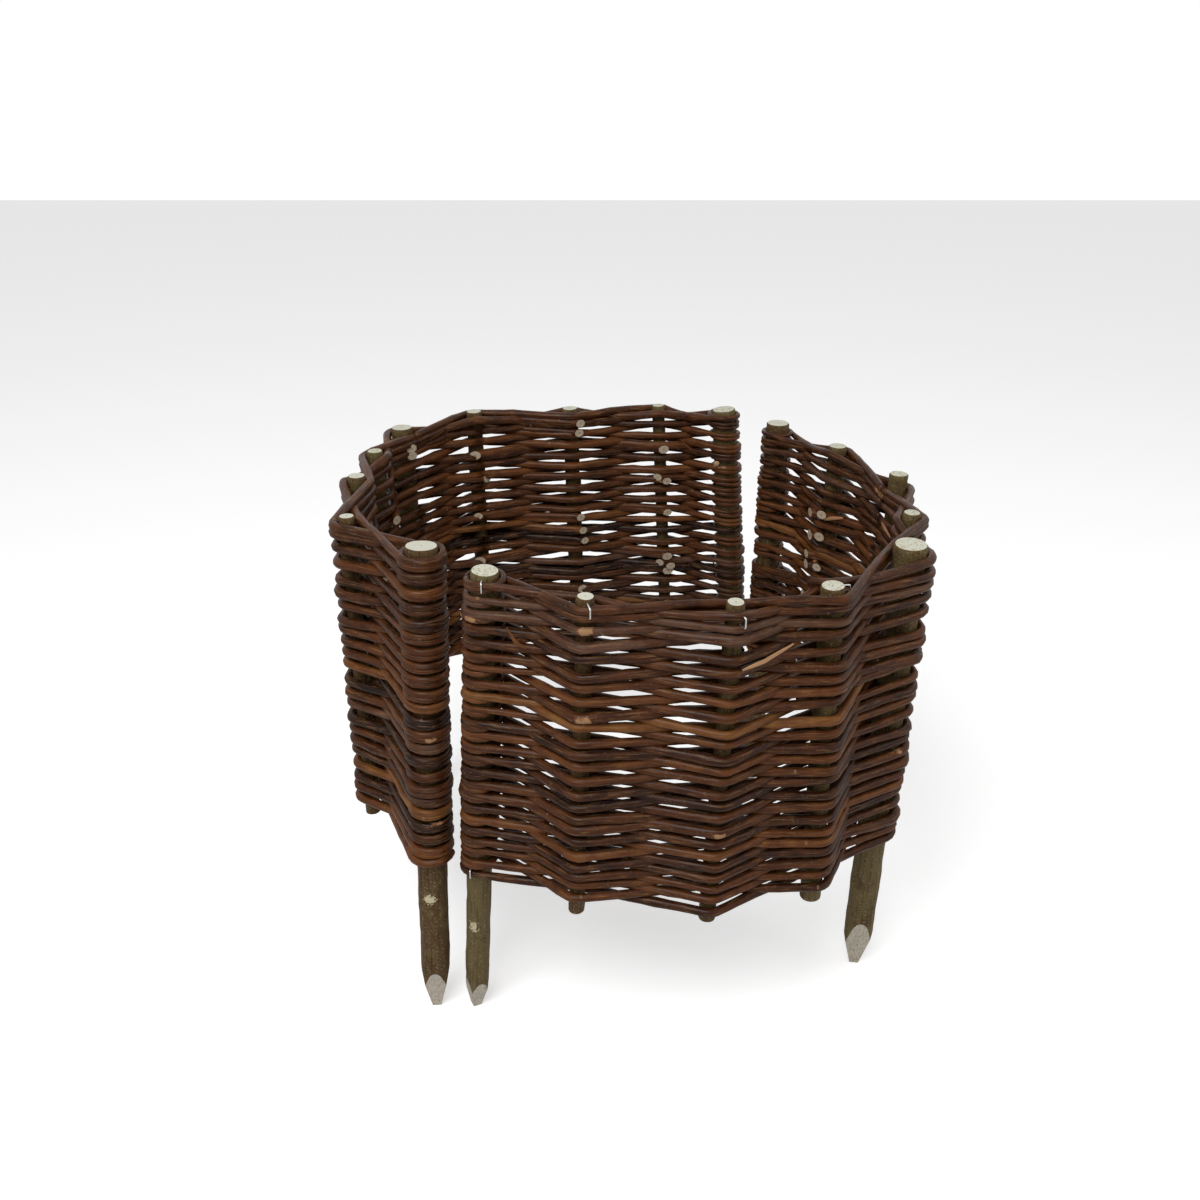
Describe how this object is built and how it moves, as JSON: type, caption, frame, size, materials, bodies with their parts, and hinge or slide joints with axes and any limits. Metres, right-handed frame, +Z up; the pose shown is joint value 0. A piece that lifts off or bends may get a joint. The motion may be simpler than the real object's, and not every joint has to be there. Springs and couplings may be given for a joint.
{
  "type": "woven edging ring",
  "caption": "Garden edging ring of two woven rod half hurdles on barked stakes, each half with pointed posts for pushing into soil.",
  "frame": {"origin": "middle of the ring's outline on the ground, level with the six blunt points", "axes": "+Z up; the front is towards -Y, where the gap between the two halves is seen at the left; the left half is towards -X"},
  "size_m": [0.4765, 0.4616, 0.406],
  "materials": {
    "woven_rods": "satin bark",
    "barked_stakes": "rough bark",
    "cut_wood": "bare sawn wood",
    "staple_steel": "bright"
  },
  "bodies": {
    "root": {"left_weave": "woven_rods", "left_front_end_post": "barked_stakes", "left_middle_post": "barked_stakes", "left_back_end_post": "barked_stakes", "left_thin_stake_1": "barked_stakes", "left_thin_stake_2": "barked_stakes", "left_thin_stake_3": "barked_stakes", "left_thin_stake_4": "barked_stakes", "left_thin_stake_5": "barked_stakes", "left_thin_stake_6": "barked_stakes", "right_weave": "woven_rods", "right_front_end_post": "barked_stakes", "right_middle_post": "barked_stakes", "right_back_end_post": "barked_stakes", "right_thin_stake_1": "barked_stakes", "right_thin_stake_2": "barked_stakes", "right_thin_stake_3": "barked_stakes", "right_thin_stake_4": "barked_stakes", "right_thin_stake_5": "barked_stakes", "right_thin_stake_6": "barked_stakes"}
  },
  "joints": []
}
